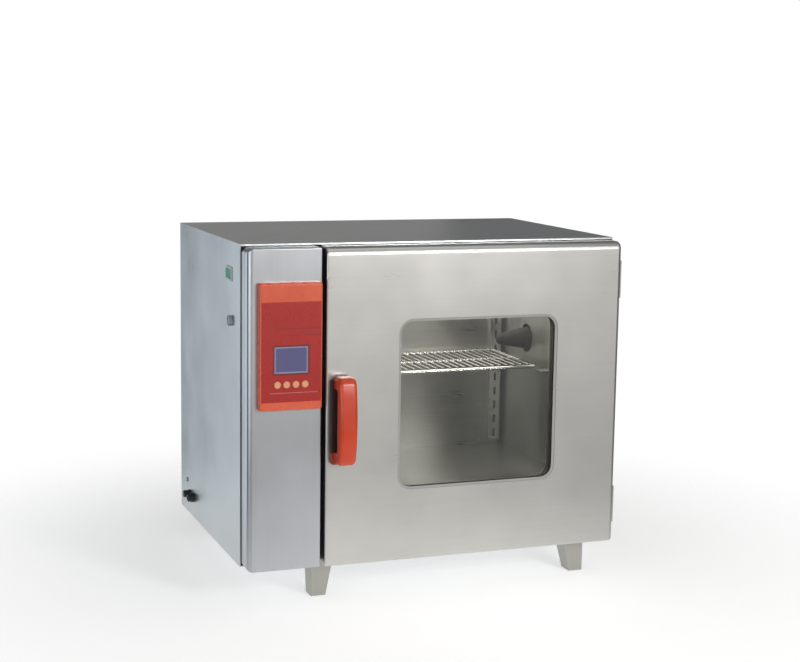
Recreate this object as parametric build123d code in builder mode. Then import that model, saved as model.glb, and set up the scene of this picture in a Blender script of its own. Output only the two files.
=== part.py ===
from math import cos, radians, sin
import os

from build123d import *

os.makedirs("parts", exist_ok=True)

# A bench drying oven, in millimetres. +X is to the right seen from the front, -Y faces the user
# and +Z is up. The origin is on the table, under the middle of the whole object.

# Casing
casing_width = 620
casing_depth = 400
casing_height = 495
sheet = 1.2
lip_height = 3
lip_radius = 1
flange_width = 14
grille_above_base = 90
grille_length = 80
grille_slot = 4
grille_pitch = 12
grille_count = 8
rear_screw_inset = 40

# Front layer: the door on the right and the control column's cover on the left
front_layer = 35
column_width = 117.5
column_inset = 2
door_gap = 7
door_side_inset = 0.5
door_top_gap = 4
door_drop = 1
cover_drop = 0.5
door_rear_gap = 1.5
cover_edge_radius = 9
cover_small_radius = 2
door_top_radius = 12
door_right_radius = 6
door_small_radius = 3

# Chamber, inside its polished liner
chamber_from_left = 205
chamber_from_right = 75
chamber_above_base = 108
chamber_below_top = 87
liner_sheet = 1.0
frame_sheet = 1.5
duct_depth = 70
duct_side_gap = 8
duct_screw_inset = 34
duct_screw_rows = (6, 70)
rear_insulation = 36
partition_from_left = 154

# Window in the door
window_size = 268
window_radius = 23
window_right_of_middle = 0.5
window_below_middle = 13
glass_thickness = 4
glass_overlap = 10
glass_edge_room = 6
inner_glass_overlap = 16
seal_front = 1.5
seal_rear = 4.3
seal_lip = 4
tunnel_wall = 1.0
pan_setback = 4.5
gasket_width = 10
gasket_offset = 6
soft_gap = 0.3

# Handle on the door
handle_reach = 40
handle_width = 28.5
handle_height = 134.5
handle_from_door_left = 10.5
handle_above_base = 162
handle_bar = 15
handle_leg = 18
handle_base_thickness = 8
handle_base_left = 4.4
handle_base_right = 0.5
handle_base_below = 2
handle_base_short = 4.5
handle_base_radius = 5
handle_base_rounding = 2
grip_bow = 8
grip_end_radius = 12
grip_inner_radius = 6
grip_edge_radius = 6

# Control panel
bezel_width = 97.5
bezel_height = 192
bezel_depth = 12
bezel_from_left = 17.5
bezel_below_top = 54
bezel_wall = 2.2
bezel_edge_radius = 3.5
overlay_thickness = 0.5
overlay_side_margin = 2.5
overlay_bottom_margin = 13
overlay_top_margin = 28.5
display_width = 52
display_height = 40
display_above_bezel = 56.5
board_setback = 8
board_thickness = 1.6
board_margin = 8
post_radius = 3
post_inset = 5
plug_width = 30
plug_depth = 12
plug_inset = 20
button_radius = 5.25
button_clearance = 0.1
button_pitch = 14.3
button_count = 4
button_above_bezel = 39.5
button_travel = 1.2
button_proud = 1.4
button_flange = 1.2
button_flange_reach = 1.2
button_rounding = 1.0
press_reserve = 0.1
key_switch_size = 6
key_stem_radius = 1.7
key_stem_height = 0.8

# Magnetic door catches
magnet_inset = 30
magnet_width = 14
magnet_height = 40
magnet_depth = 12
magnet_proud = 0.5

# Left side: rocker switch, temperature limiter, fuse cap, cable gland and earth screw
switch_from_front = 60
switch_below_top = 50
switch_length = 31
switch_height = 22
switch_rim = 2
switch_body_length = 28
switch_body_height = 19
switch_depth = 20
switch_rounding = 1.0
rocker_half_length = 11.5
rocker_half_height = 7
rocker_tilt = 9
rocker_pivot_depth = 3
rocker_proud = 5.5
rocker_valley = 3.4
rocker_edge_depth = 1
rocker_keel_half_length = 4
rocker_keel_depth = 4.5
rocker_swing_room = 1.1
rocker_side_room = 0.5
rocker_pocket_depth = 8
rocker_pin_radius = 1.5
rocker_pin_end = 1.4
rocker_pin_room = 0.2
limiter_from_front = 50
limiter_below_top = 121
limiter_radius = 8
limiter_knob_height = 6
limiter_shaft_radius = 3
limiter_shaft_room = 1
limiter_shaft_reach = 12
limiter_body_size = 36
limiter_body_depth = 24
limiter_rounding = 1.2
limiter_slot = 2
fitting_reach = 12
fuse_from_front = 333
gland_from_front = 303
fitting_above_base = 35
fuse_radius = 7
fuse_rim = 3
fuse_cap_radius = 6
fuse_neck_radius = 5.5
fuse_inside = 30
fuse_rounding = 1.2
gland_radius = 8
gland_hexagon = 6
gland_nut_radius = 6.5
gland_neck_radius = 6
gland_inside = 12
gland_rounding = 2
gland_bore_radius = 3.5
earth_from_front = 353
earth_above_base = 55

# Hinges on the right side
hinge_offset = 7
hinge_forward = 1
hinge_knuckle_radius = 5
hinge_pin_radius = 2.5
hinge_height = 60
hinge_leaf = 2
hinge_bracket_length = 30
hinge_leaf_length = 25
hinge_leaf_gap = 6
hinge_screw_inset = 8
hinge_link = 2
hinge_above_base = 60
hinge_below_top = 65
running_clearance = 0.05
axial_clearance = 0.4

# Feet
foot_height = 60
foot_top_width = 36
foot_top_depth = 39
foot_bottom_width = 24
foot_bottom_depth = 29
foot_left_inset = 116.5
foot_right_inset = 32
foot_end_inset = 8
foot_edge_radius = 1.5
foot_bolt_radius = 4
foot_bolt_head = 7
foot_bolt_room = 1
foot_floor = 12
bolt_head_height = 5
bolt_nut_height = 6

# Shelf and its supports
shelf_above_floor = 169
shelf_from_front = 61
shelf_side_gap = 23
shelf_rear_gap = 5
shelf_rail_radius = 3
shelf_cross_radius = 2.4
shelf_wire_radius = 1.5
shelf_wire_count = 22
shelf_bend_radius = 10
wire_sink = 0.5
standard_width = 20
standard_depth = 6
standard_wall = 1.5
standard_from_wall = 18
standard_from_front = 35
standard_end_gap = 8
slot_pitch = 25
slot_width = 4
slot_height = 14
clip_rear_reach = 16
clip_side_reach = 24
clip_width = 24
clip_thickness = 2
clip_drop = 9

# Fan, heater, probe, vent and cable port
fan_from_chamber_left = 95
fan_below_middle = 13
fan_radius = 56
fan_width = 22
fan_blades = 12
fan_plate = 2
blade_thickness = 1.6
blade_width = 28
blade_circle = 40
hub_radius = 9
shaft_radius = 3
shaft_engaged = 20
motor_size = 62
motor_depth = 33
motor_nose = 5
motor_nose_radius = 11
motor_clearance = 3
motor_corner_radius = 8
heater_radius = 72
heater_tube_radius = 3.5
heater_elbow_radius = 4.5
heater_angle = 24
heater_seal_length = 7
heater_stub = 9
intake_hole_radius = 3
intake_rings = 6
intake_pitch = 8
probe_radius = 2
probe_from_fan = 95
probe_below_roof = 22
probe_reach = 45
probe_stub = 12
probe_head = 6
vent_from_chamber_right = 65
vent_below_roof = 38
vent_radius = 15
vent_wall = 1.5
vent_reach = 12
vent_cap_radius = 23
vent_flange = 2.5
vent_disc = 3
vent_hole_radius = 5.5
vent_hole_circle = 9.5
vent_hub_radius = 5
vent_pin_radius = 2
vent_pin_length = 6
vent_rib = 3
vent_rib_gap = 2
port_from_front = 158
port_below_roof = 98
port_radius = 25
port_wall = 1.0
port_flange = 8
port_flange_thickness = 2
bung_inside = 55
bung_tip_radius = 8
bung_tip_rounding = 6
bung_wall_radius = 19
bung_rim = 6
bung_rim_thickness = 6
screw_radius = 2
screw_head_radius = 3.6
screw_head_height = 2

# Transformer in the control column
transformer_from_front = 210
transformer_from_left = 75
core_width = 64
core_depth = 28
core_height = 54
core_limb = 12
coil_depth = 52
coil_radius = 6

# Planes and limits that follow from the sizes above
hinge_reach = hinge_offset + hinge_knuckle_radius
left_x = -(casing_width + hinge_reach - fitting_reach) / 2
right_x = left_x + casing_width
front_y = (front_layer + handle_reach - casing_depth - vent_reach) / 2
rear_y = front_y + casing_depth
base_z = foot_height
top_z = base_z + casing_height
inner_left_x = left_x + sheet
inner_right_x = right_x - sheet
inner_rear_y = rear_y - sheet
floor_z = base_z + sheet
roof_z = top_z - sheet

layer_y = front_y - front_layer
frame_y = front_y + sheet
frame_back_y = frame_y + frame_sheet
cover_left_x = left_x + column_inset
cover_right_x = left_x + column_width
door_left_x = cover_right_x + door_gap
door_right_x = right_x - door_side_inset
door_back_y = front_y - door_rear_gap
door_top_z = top_z - door_top_gap
door_bottom_z = base_z - door_drop
cover_bottom_z = base_z - cover_drop
pan_back_y = door_back_y - pan_setback
pan_y = pan_back_y - liner_sheet

chamber_right_x = right_x - chamber_from_right
chamber_left_x = left_x + chamber_from_left
chamber_floor_z = base_z + chamber_above_base
chamber_roof_z = top_z - chamber_below_top
chamber_middle_x = (chamber_left_x + chamber_right_x) / 2
chamber_middle_z = (chamber_floor_z + chamber_roof_z) / 2
motor_y = inner_rear_y - motor_depth
insulation_back_y = motor_y - motor_nose - motor_clearance
liner_back_y = insulation_back_y - rear_insulation
chamber_back_y = liner_back_y - liner_sheet
duct_y = chamber_back_y - duct_depth
partition_x = left_x + partition_from_left

window_centre = (chamber_middle_x + window_right_of_middle, chamber_middle_z - window_below_middle)
glass_size = window_size + 2 * glass_overlap
seal_size = glass_size + 2 * glass_edge_room
inner_glass_size = window_size + 2 * inner_glass_overlap
seal_y = layer_y + sheet
outer_glass_y = seal_y + seal_front
seal_back_y = outer_glass_y + glass_thickness + seal_rear
inner_glass_y = pan_y - glass_thickness

handle_left_x = door_left_x + handle_from_door_left
handle_right_x = handle_left_x + handle_width
handle_bottom_z = base_z + handle_above_base
handle_top_z = handle_bottom_z + handle_height
handle_front_y = layer_y - handle_reach
handle_foot_y = layer_y - handle_base_thickness

bezel_left_x = left_x + bezel_from_left
bezel_right_x = bezel_left_x + bezel_width
bezel_top_z = top_z - bezel_below_top
bezel_bottom_z = bezel_top_z - bezel_height
bezel_centre_x = (bezel_left_x + bezel_right_x) / 2
bezel_face_y = layer_y - bezel_depth
overlay_centre_z = (bezel_bottom_z + overlay_bottom_margin + bezel_top_z - overlay_top_margin) / 2
overlay_height = bezel_height - overlay_bottom_margin - overlay_top_margin
display_centre_z = bezel_bottom_z + display_above_bezel + display_height / 2
button_z = bezel_bottom_z + button_above_bezel
board_y = bezel_face_y + board_setback
button_xs = [bezel_centre_x + (i - (button_count - 1) / 2) * button_pitch for i in range(button_count)]

switch_y = front_y + switch_from_front
switch_z = top_z - switch_below_top
limiter_y = front_y + limiter_from_front
limiter_z = top_z - limiter_below_top
fitting_z = base_z + fitting_above_base
fuse_y = front_y + fuse_from_front
gland_y = front_y + gland_from_front
earth_y = front_y + earth_from_front
earth_z = base_z + earth_above_base

hinge_x = right_x + hinge_offset
hinge_y = front_y - hinge_forward
hinge_middles = (base_z + hinge_above_base, top_z - hinge_below_top)
hinge_zs = [z - hinge_height / 2 for z in hinge_middles]

fan_x = chamber_left_x + fan_from_chamber_left
fan_z = chamber_middle_z - fan_below_middle
fan_y = chamber_back_y - duct_depth / 2 - fan_width / 2
vent_x = chamber_right_x - vent_from_chamber_right
vent_z = chamber_roof_z - vent_below_roof
probe_x = fan_x + probe_from_fan
probe_z = chamber_roof_z - probe_below_roof
port_y = front_y + port_from_front
port_z = chamber_roof_z - port_below_roof
shelf_z = chamber_floor_z + shelf_above_floor
shelf_front_y = front_y + shelf_from_front
shelf_back_y = duct_y - standard_depth - shelf_rear_gap
shelf_left_x = chamber_left_x + shelf_side_gap
shelf_right_x = chamber_right_x - shelf_side_gap


def block(x, y, z, mode=Mode.ADD):
    """A rectangular block between a low and a high limit on each axis."""
    with Locations((sum(x) / 2, sum(y) / 2, sum(z) / 2)):
        Box(x[1] - x[0], y[1] - y[0], z[1] - z[0], mode=mode)


def rod(start, direction, radius, length, mode=Mode.ADD):
    """A round bar from a start point along a direction."""
    with Locations(Plane(origin=start, z_dir=direction)):
        Cylinder(radius, length, align=(Align.CENTER, Align.CENTER, Align.MIN), mode=mode)


def front_rounded(x, y, z, top, bottom, left, right):
    """A block whose four front edges are rounded, each with its own radius."""
    with BuildPart() as shape:
        block(x, y, z)
        fillet(shape.faces().sort_by(Axis.Y)[0].edges().filter_by(Axis.X).sort_by(Axis.Z)[-1], top)
        fillet(shape.faces().sort_by(Axis.Y)[0].edges().filter_by(Axis.X).sort_by(Axis.Z)[0], bottom)
        fillet(shape.faces().sort_by(Axis.Y)[0].edges().filter_by(Axis.Z).sort_by(Axis.X)[0], left)
        fillet(shape.faces().sort_by(Axis.Y)[0].edges().filter_by(Axis.Z).sort_by(Axis.X)[-1], right)
    return shape.part


def rounded_slab(centre, width, height, radius, y_start, y_end):
    """An upright slab with rounded corners, between two Y planes, centred on (x, z)."""
    with BuildPart() as slab:
        with BuildSketch(Plane((centre[0], y_start, centre[1]), x_dir=(1, 0, 0), z_dir=(0, 1, 0))):
            RectangleRounded(width, height, radius)
        extrude(amount=y_end - y_start)
    return slab.part


# Casing: top, sides, back and base

with BuildPart() as top_panel:
    block((left_x, right_x), (front_y, rear_y), (roof_z, top_z))
    block((inner_left_x, inner_right_x), (front_y, frame_y), (top_z - lip_height, top_z))
    fillet(top_panel.edges().filter_by(Axis.X).group_by(Axis.Y)[0].sort_by(Axis.Z)[-1], lip_radius)
top_panel.part.label = "top_panel"
export_step(top_panel.part, "parts/top_panel.step")

bracket_y = (front_y + hinge_leaf_gap, front_y + hinge_leaf_gap + hinge_bracket_length)
bracket_screw_ys = [bracket_y[0] + hinge_screw_inset, bracket_y[1] - hinge_screw_inset]
bracket_screw_zs = [z + d for z in hinge_zs for d in (hinge_screw_inset, hinge_height - hinge_screw_inset)]
bracket_screws_at = [(y, z) for y in bracket_screw_ys for z in bracket_screw_zs]
rear_screw_zs = [floor_z + rear_screw_inset, (floor_z + roof_z) / 2, roof_z - rear_screw_inset]
rear_screw_xs = [left_x + flange_width / 2 + sheet, right_x - flange_width / 2 - sheet]
rear_screws = [(x, z) for x in rear_screw_xs for z in rear_screw_zs]

with BuildPart() as left_side_panel:
    block((left_x, inner_left_x), (front_y, rear_y), (base_z, roof_z))
    block((left_x, left_x + flange_width), (inner_rear_y - sheet, inner_rear_y), (floor_z, roof_z))
    block(
        (left_x, inner_left_x),
        (switch_y - switch_body_length / 2, switch_y + switch_body_length / 2),
        (switch_z - switch_body_height / 2, switch_z + switch_body_height / 2),
        Mode.SUBTRACT,
    )
    rod(
        (left_x, limiter_y, limiter_z),
        (1, 0, 0),
        limiter_shaft_radius + limiter_shaft_room,
        sheet,
        Mode.SUBTRACT,
    )
    rod((left_x, fuse_y, fitting_z), (1, 0, 0), fuse_neck_radius, sheet, Mode.SUBTRACT)
    rod((left_x, gland_y, fitting_z), (1, 0, 0), gland_neck_radius, sheet, Mode.SUBTRACT)
    rod((left_x, earth_y, earth_z), (1, 0, 0), screw_radius, sheet, Mode.SUBTRACT)
    for z in rear_screw_zs:
        rod((rear_screw_xs[0], rear_y, z), (0, -1, 0), screw_radius, 3 * sheet, Mode.SUBTRACT)
left_side_panel.part.label = "left_side_panel"
export_step(left_side_panel.part, "parts/left_side_panel.step")

with BuildPart() as right_side_panel:
    block((inner_right_x, right_x), (front_y, rear_y), (base_z, roof_z))
    block((right_x - flange_width, right_x), (inner_rear_y - sheet, inner_rear_y), (floor_z, roof_z))
    rod((inner_right_x, port_y, port_z), (1, 0, 0), port_radius, sheet, Mode.SUBTRACT)
    for z in rear_screw_zs:
        rod((rear_screw_xs[1], rear_y, z), (0, -1, 0), screw_radius, 3 * sheet, Mode.SUBTRACT)
    for y, z in bracket_screws_at:
        rod((inner_right_x, y, z), (1, 0, 0), screw_radius, sheet, Mode.SUBTRACT)
right_side_panel.part.label = "right_side_panel"
export_step(right_side_panel.part, "parts/right_side_panel.step")

with BuildPart() as rear_panel:
    block((inner_left_x, inner_right_x), (inner_rear_y, rear_y), (floor_z, roof_z))
    for x, z in rear_screws:
        rod((x, rear_y, z), (0, -1, 0), screw_radius, sheet, Mode.SUBTRACT)
    rod((vent_x, rear_y, vent_z), (0, -1, 0), vent_radius, sheet, Mode.SUBTRACT)
    with BuildSketch(
        Plane((left_x + partition_from_left / 2, rear_y, base_z + grille_above_base), z_dir=(0, 1, 0))
    ):
        with GridLocations(grille_length, grille_pitch, 1, grille_count):
            SlotOverall(grille_length, grille_slot)
    extrude(amount=-sheet, mode=Mode.SUBTRACT)
rear_panel.part.label = "rear_panel"
export_step(rear_panel.part, "parts/rear_panel.step")

foot_xs = {"left": left_x + foot_left_inset, "right": right_x - foot_right_inset}
foot_ys = {"front": front_y + foot_end_inset, "rear": rear_y - foot_end_inset}
foot_sides = {"left": 1, "right": -1}
foot_ends = {"front": 1, "rear": -1}


def foot_bolt_place(side, end):
    """Where the bolt of a foot stands, inside the narrow bottom of that foot."""
    x = foot_xs[side] + foot_sides[side] * foot_bottom_width / 2
    y = foot_ys[end] + foot_ends[end] * foot_bottom_depth / 2
    return x, y


foot_bolts_at = [foot_bolt_place(side, end) for side in foot_xs for end in foot_ys]

with BuildPart() as base_pan:
    block((inner_left_x, inner_right_x), (frame_y, rear_y), (base_z, floor_z))
    for x, y in foot_bolts_at:
        rod((x, y, base_z), (0, 0, 1), foot_bolt_radius, sheet, Mode.SUBTRACT)
base_pan.part.label = "base_pan"
export_step(base_pan.part, "parts/base_pan.step")


def tapered_foot(side, end):
    """A foot whose outer and end faces are upright and whose other two faces lean in below."""
    x_out = foot_xs[side]
    y_out = foot_ys[end]
    sx = foot_sides[side]
    sy = foot_ends[end]
    bolt_x, bolt_y = foot_bolt_place(side, end)
    with BuildPart() as foot:
        with BuildSketch(Plane.XY):
            with Locations((x_out + sx * foot_bottom_width / 2, y_out + sy * foot_bottom_depth / 2)):
                Rectangle(foot_bottom_width, foot_bottom_depth)
        with BuildSketch(Plane.XY.offset(foot_height)):
            with Locations((x_out + sx * foot_top_width / 2, y_out + sy * foot_top_depth / 2)):
                Rectangle(foot_top_width, foot_top_depth)
        loft()
        uprights = foot.edges().filter_by(lambda edge: edge.bounding_box().size.Z > foot_height / 2)
        fillet(uprights, foot_edge_radius)
        rod(
            (bolt_x, bolt_y, 0),
            (0, 0, 1),
            foot_bolt_head + foot_bolt_room,
            foot_height - foot_floor,
            Mode.SUBTRACT,
        )
        rod((bolt_x, bolt_y, 0), (0, 0, 1), foot_bolt_radius, foot_height, Mode.SUBTRACT)
    return foot


with BuildPart() as feet:
    for side in foot_xs:
        for end in foot_ys:
            add(tapered_foot(side, end).part)
feet.part.label = "feet"
export_step(feet.part, "parts/feet.step")

with BuildPart() as foot_bolts:
    for x, y in foot_bolts_at:
        rod((x, y, foot_height - foot_floor - bolt_head_height), (0, 0, 1), foot_bolt_head, bolt_head_height)
        rod(
            (x, y, foot_height - foot_floor),
            (0, 0, 1),
            foot_bolt_radius,
            foot_floor + sheet + bolt_nut_height,
        )
        rod((x, y, floor_z), (0, 0, 1), foot_bolt_head, bolt_nut_height)
foot_bolts.part.label = "foot_bolts"
export_step(foot_bolts.part, "parts/foot_bolts.step")

# Front frame around the chamber's mouth, and the walls behind it

magnet_x = (partition_x + chamber_left_x) / 2
magnet_zs = [chamber_floor_z + magnet_inset, chamber_roof_z - magnet_inset]

with BuildPart() as front_frame:
    block((inner_left_x, inner_right_x), (frame_y, frame_back_y), (floor_z, roof_z))
    block(
        (chamber_left_x, chamber_right_x),
        (frame_y, frame_back_y),
        (chamber_floor_z, chamber_roof_z),
        Mode.SUBTRACT,
    )
    block(
        (bezel_left_x + board_margin, bezel_right_x - board_margin),
        (frame_y, frame_back_y),
        (bezel_bottom_z + board_margin, bezel_top_z - board_margin),
        Mode.SUBTRACT,
    )
    for z in magnet_zs:
        block(
            (magnet_x - magnet_width / 2, magnet_x + magnet_width / 2),
            (frame_y, frame_back_y),
            (z - magnet_height / 2, z + magnet_height / 2),
            Mode.SUBTRACT,
        )
front_frame.part.label = "front_frame"
export_step(front_frame.part, "parts/front_frame.step")

with BuildPart() as catch_magnets:
    for z in magnet_zs:
        block(
            (magnet_x - magnet_width / 2, magnet_x + magnet_width / 2),
            (front_y - magnet_proud, frame_back_y + magnet_depth),
            (z - magnet_height / 2, z + magnet_height / 2),
        )
catch_magnets.part.label = "catch_magnets"
export_step(catch_magnets.part, "parts/catch_magnets.step")

with BuildPart() as partition_wall:
    block((partition_x, partition_x + sheet), (frame_back_y, inner_rear_y), (floor_z, roof_z))
partition_wall.part.label = "partition_wall"
export_step(partition_wall.part, "parts/partition_wall.step")

heater_lead_xs = [fan_x + sign * heater_radius * sin(radians(heater_angle)) for sign in (-1, 1)]
heater_lead_z = fan_z - heater_radius * cos(radians(heater_angle))
heater_y = chamber_back_y - duct_depth / 2

liner_x = (chamber_left_x - liner_sheet, chamber_right_x + liner_sheet)
liner_z = (chamber_floor_z - liner_sheet, chamber_roof_z + liner_sheet)

side_z = (chamber_floor_z, chamber_roof_z)
liner_y = (frame_back_y, liner_back_y)

with BuildPart() as liner_floor:
    block(liner_x, liner_y, (liner_z[0], chamber_floor_z))
liner_floor.part.label = "liner_floor"
export_step(liner_floor.part, "parts/liner_floor.step")

with BuildPart() as liner_roof:
    block(liner_x, liner_y, (chamber_roof_z, liner_z[1]))
liner_roof.part.label = "liner_roof"
export_step(liner_roof.part, "parts/liner_roof.step")

with BuildPart() as liner_left_wall:
    block((liner_x[0], chamber_left_x), liner_y, side_z)
liner_left_wall.part.label = "liner_left_wall"
export_step(liner_left_wall.part, "parts/liner_left_wall.step")

with BuildPart() as liner_right_wall:
    block((chamber_right_x, liner_x[1]), liner_y, side_z)
    rod((chamber_right_x, port_y, port_z), (1, 0, 0), port_radius, liner_sheet, Mode.SUBTRACT)
liner_right_wall.part.label = "liner_right_wall"
export_step(liner_right_wall.part, "parts/liner_right_wall.step")

shaft_hole_radius = 2 * shaft_radius
through_holes = [
    (fan_x, fan_z, shaft_hole_radius),
    (vent_x, vent_z, vent_radius),
    (probe_x, probe_z, probe_radius),
]
through_holes += [(x, heater_lead_z, heater_tube_radius) for x in heater_lead_xs]

with BuildPart() as liner_back:
    block((chamber_left_x, chamber_right_x), (chamber_back_y, liner_back_y), side_z)
    for x, z, radius in through_holes:
        rod((x, chamber_back_y, z), (0, 1, 0), radius, liner_sheet, Mode.SUBTRACT)
liner_back.part.label = "liner_back"
export_step(liner_back.part, "parts/liner_back.step")

with BuildPart() as chamber_insulation:
    block((partition_x + sheet, inner_right_x), (frame_back_y, insulation_back_y), (floor_z, roof_z))
    block(liner_x, (frame_back_y, liner_back_y), liner_z, Mode.SUBTRACT)
    rod((liner_x[1], port_y, port_z), (1, 0, 0), port_radius, chamber_from_right, Mode.SUBTRACT)
    for z in magnet_zs:
        block(
            (magnet_x - magnet_width / 2, magnet_x + magnet_width / 2),
            (frame_back_y, frame_back_y + magnet_depth),
            (z - magnet_height / 2, z + magnet_height / 2),
            Mode.SUBTRACT,
        )
    for x, y in foot_bolts_at:
        rod((x, y, floor_z), (0, 0, 1), foot_bolt_head, bolt_nut_height, Mode.SUBTRACT)
    for x, z, radius in through_holes:
        rod((x, liner_back_y, z), (0, 1, 0), radius, rear_insulation, Mode.SUBTRACT)
chamber_insulation.part.label = "chamber_insulation"
export_step(chamber_insulation.part, "parts/chamber_insulation.step")

# Air duct at the back of the chamber: a panel with an intake in front of the fan

duct_left_x = chamber_left_x + duct_side_gap
duct_right_x = chamber_right_x - duct_side_gap
duct_screw_xs = [duct_left_x + duct_screw_inset, duct_right_x - duct_screw_inset]
duct_screw_zs = [
    z + sign * d
    for z, sign in ((chamber_floor_z, 1), (chamber_roof_z, -1))
    for d in duct_screw_rows
]
duct_screws_at = [(x, z) for x in duct_screw_xs for z in duct_screw_zs]

with BuildPart() as duct_panel:
    block((duct_left_x, duct_right_x), (duct_y, chamber_back_y), (chamber_floor_z, chamber_roof_z))
    block(
        (duct_left_x, duct_right_x),
        (duct_y + liner_sheet, chamber_back_y),
        (chamber_floor_z + liner_sheet, chamber_roof_z - liner_sheet),
        Mode.SUBTRACT,
    )
    rod((probe_x, duct_y, probe_z), (0, 1, 0), probe_radius, liner_sheet, Mode.SUBTRACT)
    for x, z in duct_screws_at:
        rod((x, duct_y, z), (0, 1, 0), screw_radius, liner_sheet, Mode.SUBTRACT)
    with BuildSketch(Plane((fan_x, duct_y, fan_z), x_dir=(1, 0, 0), z_dir=(0, 1, 0))):
        Circle(intake_hole_radius)
        for ring in range(1, intake_rings):
            with PolarLocations(ring * intake_pitch, 6 * ring):
                Circle(intake_hole_radius)
    extrude(amount=liner_sheet, mode=Mode.SUBTRACT)
duct_panel.part.label = "duct_panel"
export_step(duct_panel.part, "parts/duct_panel.step")

with BuildPart() as panel_screws:
    for x, z in rear_screws:
        rod((x, rear_y, z), (0, -1, 0), screw_radius, 3 * sheet)
        rod((x, rear_y, z), (0, 1, 0), screw_head_radius, screw_head_height)
    for x, z in duct_screws_at:
        rod((x, duct_y, z), (0, 1, 0), screw_radius, liner_sheet)
        rod((x, duct_y, z), (0, -1, 0), screw_head_radius, screw_head_height)
    for y, z in bracket_screws_at:
        rod((inner_right_x, y, z), (1, 0, 0), screw_radius, sheet + hinge_leaf)
        rod((right_x + hinge_leaf, y, z), (1, 0, 0), screw_head_radius, screw_head_height)
    rod((left_x, earth_y, earth_z), (1, 0, 0), screw_radius, sheet)
    rod((left_x, earth_y, earth_z), (-1, 0, 0), screw_head_radius, screw_head_height)
panel_screws.part.label = "panel_screws"
export_step(panel_screws.part, "parts/panel_screws.step")

# Shelf standards, clips and the wire shelf

standard_z = (chamber_floor_z + standard_end_gap, chamber_roof_z - standard_end_gap)
slot_count = int((standard_z[1] - standard_z[0] - slot_height) / slot_pitch)
rear_standard_xs = [chamber_left_x + standard_from_wall, chamber_right_x - standard_from_wall]
front_standard_y = front_y + standard_from_front + standard_width / 2
clip_z = shelf_z - shelf_rail_radius - soft_gap
rear_standard_y = duct_y - standard_depth


def slotted(plane):
    """Cut a column of slots through the web of a standard, going in along the plane's normal."""
    for i in range(slot_count):
        z = standard_z[0] + slot_pitch * (i + 0.5)
        with Locations(Plane((plane.origin.X, plane.origin.Y, z), x_dir=plane.x_dir, z_dir=plane.z_dir)):
            Box(slot_width, slot_height, 4 * standard_wall, mode=Mode.SUBTRACT)


with BuildPart() as shelf_standards:
    for x in rear_standard_xs:
        block((x - standard_width / 2, x + standard_width / 2), (rear_standard_y, duct_y), standard_z)
        block(
            (x - standard_width / 2 + standard_wall, x + standard_width / 2 - standard_wall),
            (rear_standard_y + standard_wall, duct_y),
            standard_z,
            Mode.SUBTRACT,
        )
        slotted(Plane((x, rear_standard_y, 0), x_dir=(1, 0, 0), z_dir=(0, -1, 0)))
    for wall_x, inward in ((chamber_left_x, 1), (chamber_right_x, -1)):
        y = (front_standard_y - standard_width / 2, front_standard_y + standard_width / 2)
        block(sorted((wall_x, wall_x + inward * standard_depth)), y, standard_z)
        block(
            sorted((wall_x, wall_x + inward * (standard_depth - standard_wall))),
            (y[0] + standard_wall, y[1] - standard_wall),
            standard_z,
            Mode.SUBTRACT,
        )
        slotted(
            Plane((wall_x + inward * standard_depth, front_standard_y, 0), x_dir=(0, 1, 0), z_dir=(1, 0, 0))
        )
shelf_standards.part.label = "shelf_standards"
export_step(shelf_standards.part, "parts/shelf_standards.step")

with BuildPart() as shelf_clips:
    for x in rear_standard_xs:
        clip_x = (x - clip_width / 2, x + clip_width / 2)
        block(clip_x, (rear_standard_y - clip_rear_reach, rear_standard_y), (clip_z - clip_thickness, clip_z))
        block(clip_x, (rear_standard_y - clip_thickness, rear_standard_y), (clip_z - clip_drop, clip_z))
    for wall_x, inward in ((chamber_left_x, 1), (chamber_right_x, -1)):
        clip_y = (front_standard_y - clip_width / 2, front_standard_y + clip_width / 2)
        web_x = wall_x + inward * standard_depth
        block(sorted((web_x, web_x + inward * clip_side_reach)), clip_y, (clip_z - clip_thickness, clip_z))
        block(sorted((web_x, web_x + inward * clip_thickness)), clip_y, (clip_z - clip_drop, clip_z))
shelf_clips.part.label = "shelf_clips"
export_step(shelf_clips.part, "parts/shelf_clips.step")

rail_x = (shelf_left_x + shelf_rail_radius, shelf_right_x - shelf_rail_radius)
rail_y = (shelf_front_y + shelf_rail_radius, shelf_back_y - shelf_rail_radius)
wire_z = shelf_z + shelf_rail_radius + shelf_wire_radius - wire_sink
wire_pitch = (rail_x[1] - rail_x[0]) / (shelf_wire_count + 1)

with BuildPart() as wire_shelf:
    with BuildLine(Plane((0, 0, shelf_z))) as shelf_frame:
        FilletPolyline(
            (rail_x[0], rail_y[0]),
            (rail_x[1], rail_y[0]),
            (rail_x[1], rail_y[1]),
            (rail_x[0], rail_y[1]),
            radius=shelf_bend_radius,
            close=True,
        )
    with BuildSketch(Plane(origin=shelf_frame.line @ 0, z_dir=shelf_frame.line % 0)):
        Circle(shelf_rail_radius)
    sweep()
    rod((rail_x[0], sum(rail_y) / 2, shelf_z), (1, 0, 0), shelf_cross_radius, rail_x[1] - rail_x[0])
    for i in range(shelf_wire_count):
        x = rail_x[0] + (i + 1) * wire_pitch
        rod((x, rail_y[0], wire_z), (0, 1, 0), shelf_wire_radius, rail_y[1] - rail_y[0])
wire_shelf.part.label = "wire_shelf"
export_step(wire_shelf.part, "parts/wire_shelf.step")

# Fan, motor, heater and probe

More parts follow.
